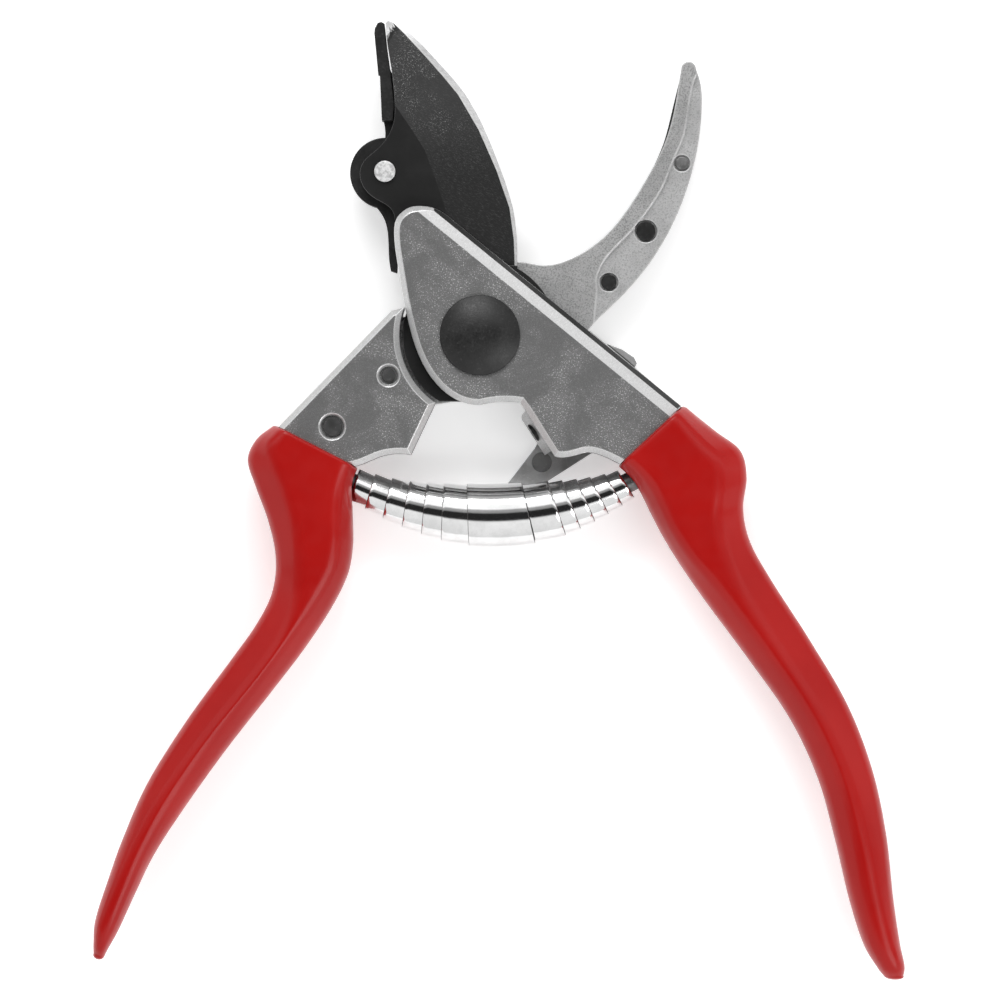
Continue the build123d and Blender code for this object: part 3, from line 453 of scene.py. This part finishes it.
LEFT_GRIP = [
    (-24.4, -26.3, -40.9, -17.8, 16.2, 0.10, 0.90),
    (-25.2, -29.4, -44.6, -20.6, 16.2, 0.11, 0.85),
    (-25.5, -33.0, -46.4, -24.8, 16.2, 0.13, 0.71),
    (-25.4, -37.2, -44.8, -30.2, 16.2, 0.16, 0.66),
    (-25.4, -42.0, -42.2, -37.4, 16.1, 0.19, 0.66),
    (-26.4, -47.6, -40.8, -44.6, 15.8, 0.24, 0.66),
    (-29.6, -54.2, -41.6, -51.4, 15.4, 0.32, 0.57),
    (-35.0, -62.4, -44.8, -57.8, 14.9, 0.35, 0.46),
    (-41.4, -70.8, -49.8, -64.8, 14.4, 0.35, 0.43),
    (-50.8, -82.8, -58.6, -76.8, 13.8, 0.40, 0.46),
    (-59.4, -94.8, -66.4, -89.2, 13.0, 0.42, 0.48),
    (-65.2, -103.8, -71.3, -100.2, 12.1, 0.42, 0.50),
    (-68.9, -111.4, -74.4, -108.8, 11.1, 0.42, 0.52),
    (-72.2, -118.6, -76.9, -116.6, 9.4, 0.41, 0.56),
    (-74.4, -122.6, -77.3, -121.2, 6.9, 0.40, 0.60),
    (-75.2, -124.2, -77.3, -123.4, 3.6, 0.35, 0.65),
]
CORNER_POINTS = 6
CORNER_ROUND = 1.9  # mm
CORNER_SHARE = 0.47  # the most of a side that one rounded corner takes up
SHOULDER = 0.45  # height at which the side facets start, as a share of the half thickness
OVAL_POWER = 2.4  # 2 would make the rounded section an ellipse
FACETED, ROUNDED = 0.05, 0.85  # how round the section is near the rim and near the end
ROUNDING_STATIONS = (6.5, 12.5)  # between which it changes
PER_STATION = 9
# Rolled rim: how far below the rim as a share of a station, and how far drawn in, mm.
RIM_RINGS = [
    (0.004, 2.6), (0.004, 1.15), (0.02, 0.55), (0.07, 0.14), (0.16, -0.06), (0.3, -0.04), (0.5, 0.0),
]
END_RISE = 0.9  # mm
END_TURNS = (20, 40, 58, 74, 86)  # degrees round the end's dome


def faceted_section(width, thickness, facet_in, facet_out, roundness):
    """Closed section with flat front and back facets and rounded corners."""
    half, top = width / 2, thickness / 2
    left, right = (facet_in - 0.5) * width, (facet_out - 0.5) * width
    shoulder = SHOULDER * top
    corners = [
        (-half, shoulder), (left, top), (right, top), (half, shoulder),
        (half, -shoulder), (right, -top), (left, -top), (-half, -shoulder),
    ]
    points = []
    for i, corner in enumerate(corners):
        before, after = corners[i - 1], corners[(i + 1) % len(corners)]
        ends = []
        for other in (before, after):
            reach = hypot(other[0] - corner[0], other[1] - corner[1])
            share = min(CORNER_ROUND, CORNER_SHARE * reach) / max(reach, 1e-6)
            ends.append([corner[k] + (other[k] - corner[k]) * share for k in (0, 1)])
        for step in range(CORNER_POINTS):
            t = step / (CORNER_POINTS - 1)
            x, z = (
                ends[0][k] * (1 - t) ** 2 + 2 * corner[k] * t * (1 - t) + ends[1][k] * t * t
                for k in (0, 1)
            )
            a = atan2(z / top, x / half)
            reach = (abs(cos(a)) ** OVAL_POWER + abs(sin(a)) ** OVAL_POWER) ** (-1 / OVAL_POWER)
            points.append((
                x + (half * cos(a) * reach - x) * roundness,
                z + (top * sin(a) * reach - z) * roundness,
            ))
    return points


def grip(name, stations, seat, replaced, body):
    """Dipped grip lofted through its stations, with a rolled rim and a spring seat."""
    last = len(stations) - 1
    below_rim = range(PER_STATION * 2 // 3, last * PER_STATION + 1)
    rings = RIM_RINGS + [(i / PER_STATION, 0.0) for i in below_rim]
    points = []
    for u, drawn_in in rings:
        x0, y0, x1, y1, thickness, facet_in, facet_out = through(stations, u)
        across = Vector((x1 - x0, y1 - y0, 0))
        middle = Vector(((x0 + x1) / 2, (y0 + y1) / 2, GRIP_MID))
        width = across.length - 2 * drawn_in
        across.normalize()
        roundness = FACETED + (ROUNDED - FACETED) * smooth(u, *ROUNDING_STATIONS)
        for x, z in faceted_section(width, thickness - 2 * drawn_in, facet_in, facet_out, roundness):
            points.append(middle + across * x + Vector((0, 0, z)))
    around = len(points) // len(rings)
    # Rounded end: rings that shrink towards a point just past the last station.
    base = points[-around:]
    end_middle = sum(base, Vector()) / around
    out = (Vector(stations[-1][0:2]) - Vector(stations[-2][0:2])).to_3d().normalized()
    for turn in END_TURNS:
        share = cos(radians(turn))
        rise = out * END_RISE * sin(radians(turn))
        points += [end_middle + (p - end_middle) * share + rise for p in base]
    made = mesh_object(name, points, tube_faces(len(points) // around, around), "red_vinyl")
    cutter = seat_cutter(seat)
    cut = made.modifiers.new("seat", "BOOLEAN")
    cut.operation = "DIFFERENCE"
    cut.object = cutter
    cut.solver = "EXACT"
    apply_modifiers(made)
    bpy.data.objects.remove(cutter)
    weighted = made.modifiers.new("flat facets", "WEIGHTED_NORMAL")
    weighted.keep_sharp = True
    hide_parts(replaced)
    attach(made, body)


# ---- volute spring ----------------------------------------------------------------
# Lengths in mm.
BOW_CENTRE = Vector((1.95, 26.35, 8.9))
BOW_RADIUS = 62.2
LEFT_SHOWN = [5.1, 3.75, 3.75, 3.85, 3.7, 3.5]  # how much of each turn shows, from the middle out
RIGHT_SHOWN = [5.8, 3.0, 3.0, 2.9, 3.1, 2.7]
MIDDLE_SPAN = (-4.1, 7.1)  # degrees round the bow, from straight down
SPRING_RADIUS = 6.2
RADIUS_STEP = 0.5  # how much smaller each turn is than the last
STRIP = 6.2  # width of the strip in the narrower turns
WALL = 0.20  # thickness shown at a turn's edges
LIP = 0.10  # rounding of the outer edges
CROWN = 0.05  # how much fuller a turn is halfway along
SLANT = 0.10  # how far a turn's edges lean along the bow, as a share of the distance across it
SLICES = 8  # along a turn
STEPS_AROUND = 72
SEAT_REACH = 3.4  # the recess in a grip, either way from the spring's end
SEAT_RADIUS = 4.35
SEAT_STEPS = 48


def bow_point(angle, radius, around):
    """Point of a tube bowed about BOW_CENTRE; around is 0 at the front."""
    a = radians(angle)
    out = Vector((sin(a), -cos(a), 0))
    return (
        BOW_CENTRE + out * BOW_RADIUS
        + Vector((0, 0, 1)) * radius * cos(radians(around))
        + out * radius * sin(radians(around))
    )


def seat_cutter(angle):
    """Closed cylinder along the spring's axis, for the recess in a grip."""
    points = []
    for along in (-SEAT_REACH, SEAT_REACH):
        turn = angle + degrees(along / BOW_RADIUS)
        points += [bow_point(turn, SEAT_RADIUS, 360 * i / SEAT_STEPS) for i in range(SEAT_STEPS)]
    return mesh_object("seat_cutter", points, tube_faces(2, SEAT_STEPS), "red_vinyl")


def spring_turn(node, start, end, radius):
    """One turn of the strip, its edges leaning and softly rounded."""
    length = radians(end - start) * BOW_RADIUS
    # Round the strip's section: share along the turn, offset along, and radius drawn in.
    outline = [(0, 0.0, LIP), (0, LIP, 0.0)]
    outline += [(k / SLICES, 0.0, 0.0) for k in range(1, SLICES)]
    outline += [(1, -LIP, 0.0), (1, 0.0, LIP)]
    outline += [(k / SLICES, 0.0, WALL) for k in reversed(range(SLICES + 1))]
    points = []
    for share, offset, drawn_in in outline:
        crown = CROWN * (1 - (2 * share - 1) ** 2)
        for i in range(STEPS_AROUND):
            around = 360 * i / STEPS_AROUND
            lean = SLANT * radius * sin(radians(around))
            along = start + degrees((share * length + offset + lean) / BOW_RADIUS)
            points.append(bow_point(along, radius - drawn_in + crown, around))
    faces = []
    for ring in range(len(outline)):
        here = ring * STEPS_AROUND
        there = (ring + 1) % len(outline) * STEPS_AROUND
        for i in range(STEPS_AROUND):
            beside = (i + 1) % STEPS_AROUND
            faces.append((here + i, here + beside, there + beside, there + i))
    made = mesh_object(f"{node}_strip", points, faces, "spring_steel")
    weighted = made.modifiers.new("crisp edges", "WEIGHTED_NORMAL")
    weighted.keep_sharp = True
    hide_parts(node)
    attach(made, node)


spring_turn("spring_middle", *MIDDLE_SPAN, SPRING_RADIUS)
strip_angle = degrees(STRIP / BOW_RADIUS)
left_end, right_end = MIDDLE_SPAN
for number, (left_shown, right_shown) in enumerate(zip(LEFT_SHOWN, RIGHT_SHOWN), start=1):
    turn_radius = SPRING_RADIUS - number * RADIUS_STEP
    left_end -= degrees(left_shown / BOW_RADIUS)
    right_end += degrees(right_shown / BOW_RADIUS)
    spring_turn(f"spring_turn_left_{number}", left_end, left_end + strip_angle, turn_radius)
    spring_turn(f"spring_turn_right_{number}", right_end - strip_angle, right_end, turn_radius)

grip("left_grip_skin", LEFT_GRIP, left_end, "hook_grip", "hook_side")
grip("right_grip_skin", RIGHT_GRIP, right_end, "blade_grip", "blade_side")

# ---- light, floor and camera -------------------------------------------------------
low, high = (Vector(corner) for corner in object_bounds())
centre = (low + high) / 2
FLOOR_HALF = 1.5
FLOOR_GAP = 0.0002
FLOOR_GLOW = 0.42  # keeps the shadows between the handles pale
floor_corners = [
    (side * FLOOR_HALF, end * FLOOR_HALF, -FLOOR_GAP)
    for side, end in ((-1, -1), (1, -1), (1, 1), (-1, 1))
]
floor_mesh = bpy.data.meshes.new("floor")
floor_mesh.from_pydata(floor_corners, [], [(0, 1, 2, 3)])
floor = bpy.data.objects.new("floor", floor_mesh)
bpy.context.scene.collection.objects.link(floor)
floor_look = Look(
    "floor_paper", roughness=0.9, Emission_Color=(1, 1, 1, 1), Emission_Strength=FLOOR_GLOW
)
floor_look.colour(floor_look.mix(floor_look.noise(0.02, 2), 0.88, 0.90))
floor_mesh.materials.append(floor_look.material)
floor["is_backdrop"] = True

# Degrees from straight up, towards -Y where positive, and the tone of the studio there.
STUDIO_BANDS = [
    (-180, 0.5), (-108, 0.5), (-102, 0.15), (-78, 0.15), (-70, 0.5), (-46, 0.55), (-40, 1.25), (-22, 1.25),
    (-18, 0.40), (-9, 0.35), (-5, 0.02), (20, 0.02), (26, 0.98), (95, 0.84), (110, 0.8), (180, 0.6),
]
STUDIO_STRENGTH = 1.1


def studio(bands, strength):
    """World that is banded in grey by the angle between straight up and the front, -Y."""
    world = bpy.data.worlds.new("studio")
    bpy.context.scene.world = world
    world.use_nodes = True
    nodes, links = world.node_tree.nodes, world.node_tree.links
    split = nodes.new("ShaderNodeSeparateXYZ")
    links.new(nodes.new("ShaderNodeTexCoord").outputs["Generated"], split.inputs[0])
    towards_front = nodes.new("ShaderNodeMath")
    towards_front.operation = "MULTIPLY"
    towards_front.inputs[1].default_value = -1
    links.new(split.outputs["Y"], towards_front.inputs[0])
    tilt = nodes.new("ShaderNodeMath")
    tilt.operation = "ARCTAN2"
    links.new(towards_front.outputs[0], tilt.inputs[0])
    links.new(split.outputs["Z"], tilt.inputs[1])
    share = nodes.new("ShaderNodeMapRange")
    share.inputs["From Min"].default_value = -pi
    share.inputs["From Max"].default_value = pi
    links.new(tilt.outputs[0], share.inputs["Value"])
    ramp = nodes.new("ShaderNodeValToRGB")
    links.new(share.outputs["Result"], ramp.inputs["Fac"])
    stops = ramp.color_ramp.elements
    while len(stops) < len(bands):
        stops.new(0.5)
    # All the places are set before any tone, because moving a stop can reorder them.
    for stop, band in zip(stops, bands):
        stop.position = (band[0] + 180) / 360
    for stop, band in zip(stops, bands):
        stop.color = (band[1], band[1], band[1], 1)
    links.new(ramp.outputs["Color"], nodes["Background"].inputs["Color"])
    nodes["Background"].inputs["Strength"].default_value = strength


def softbox(name, place, aim, width, height, power):
    """Rectangular area lamp at a place, turned to face aim."""
    lamp = bpy.data.lights.new(name, "AREA")
    lamp.shape = "RECTANGLE"
    lamp.size = width
    lamp.size_y = height
    lamp.energy = power
    holder = bpy.data.objects.new(name, lamp)
    bpy.context.scene.collection.objects.link(holder)
    holder.location = place
    holder.rotation_euler = (Vector(aim) - Vector(place)).to_track_quat("-Z", "Y").to_euler()


KEY_AT, KEY_SIZE, KEY_POWER = (-0.15, 0.85, 0.75), (0.7, 0.35), 6
FILL_AT, FILL_SIZE, FILL_POWER = (0.65, -0.45, 0.75), (0.6, 0.6), 3
studio(STUDIO_BANDS, STUDIO_STRENGTH)
softbox("key", KEY_AT, centre, *KEY_SIZE, KEY_POWER)
softbox("fill", FILL_AT, centre, *FILL_SIZE, FILL_POWER)

VIEW_CENTRE = (0.0040, -0.0328)
VIEW_WIDTH = 0.200  # at the height of the grips' middle
VIEW_HEIGHT = 1.4
SENSOR_WIDTH = 36  # mm
camera_data = bpy.data.cameras.new("camera")
camera_data.sensor_width = SENSOR_WIDTH
camera_data.lens = SENSOR_WIDTH * (VIEW_HEIGHT - GRIP_MID * MM) / VIEW_WIDTH
camera = bpy.data.objects.new("camera", camera_data)
bpy.context.scene.collection.objects.link(camera)
camera.location = (*VIEW_CENTRE, VIEW_HEIGHT)
bpy.context.scene.camera = camera
bpy.context.scene.view_settings.view_transform = "Standard"
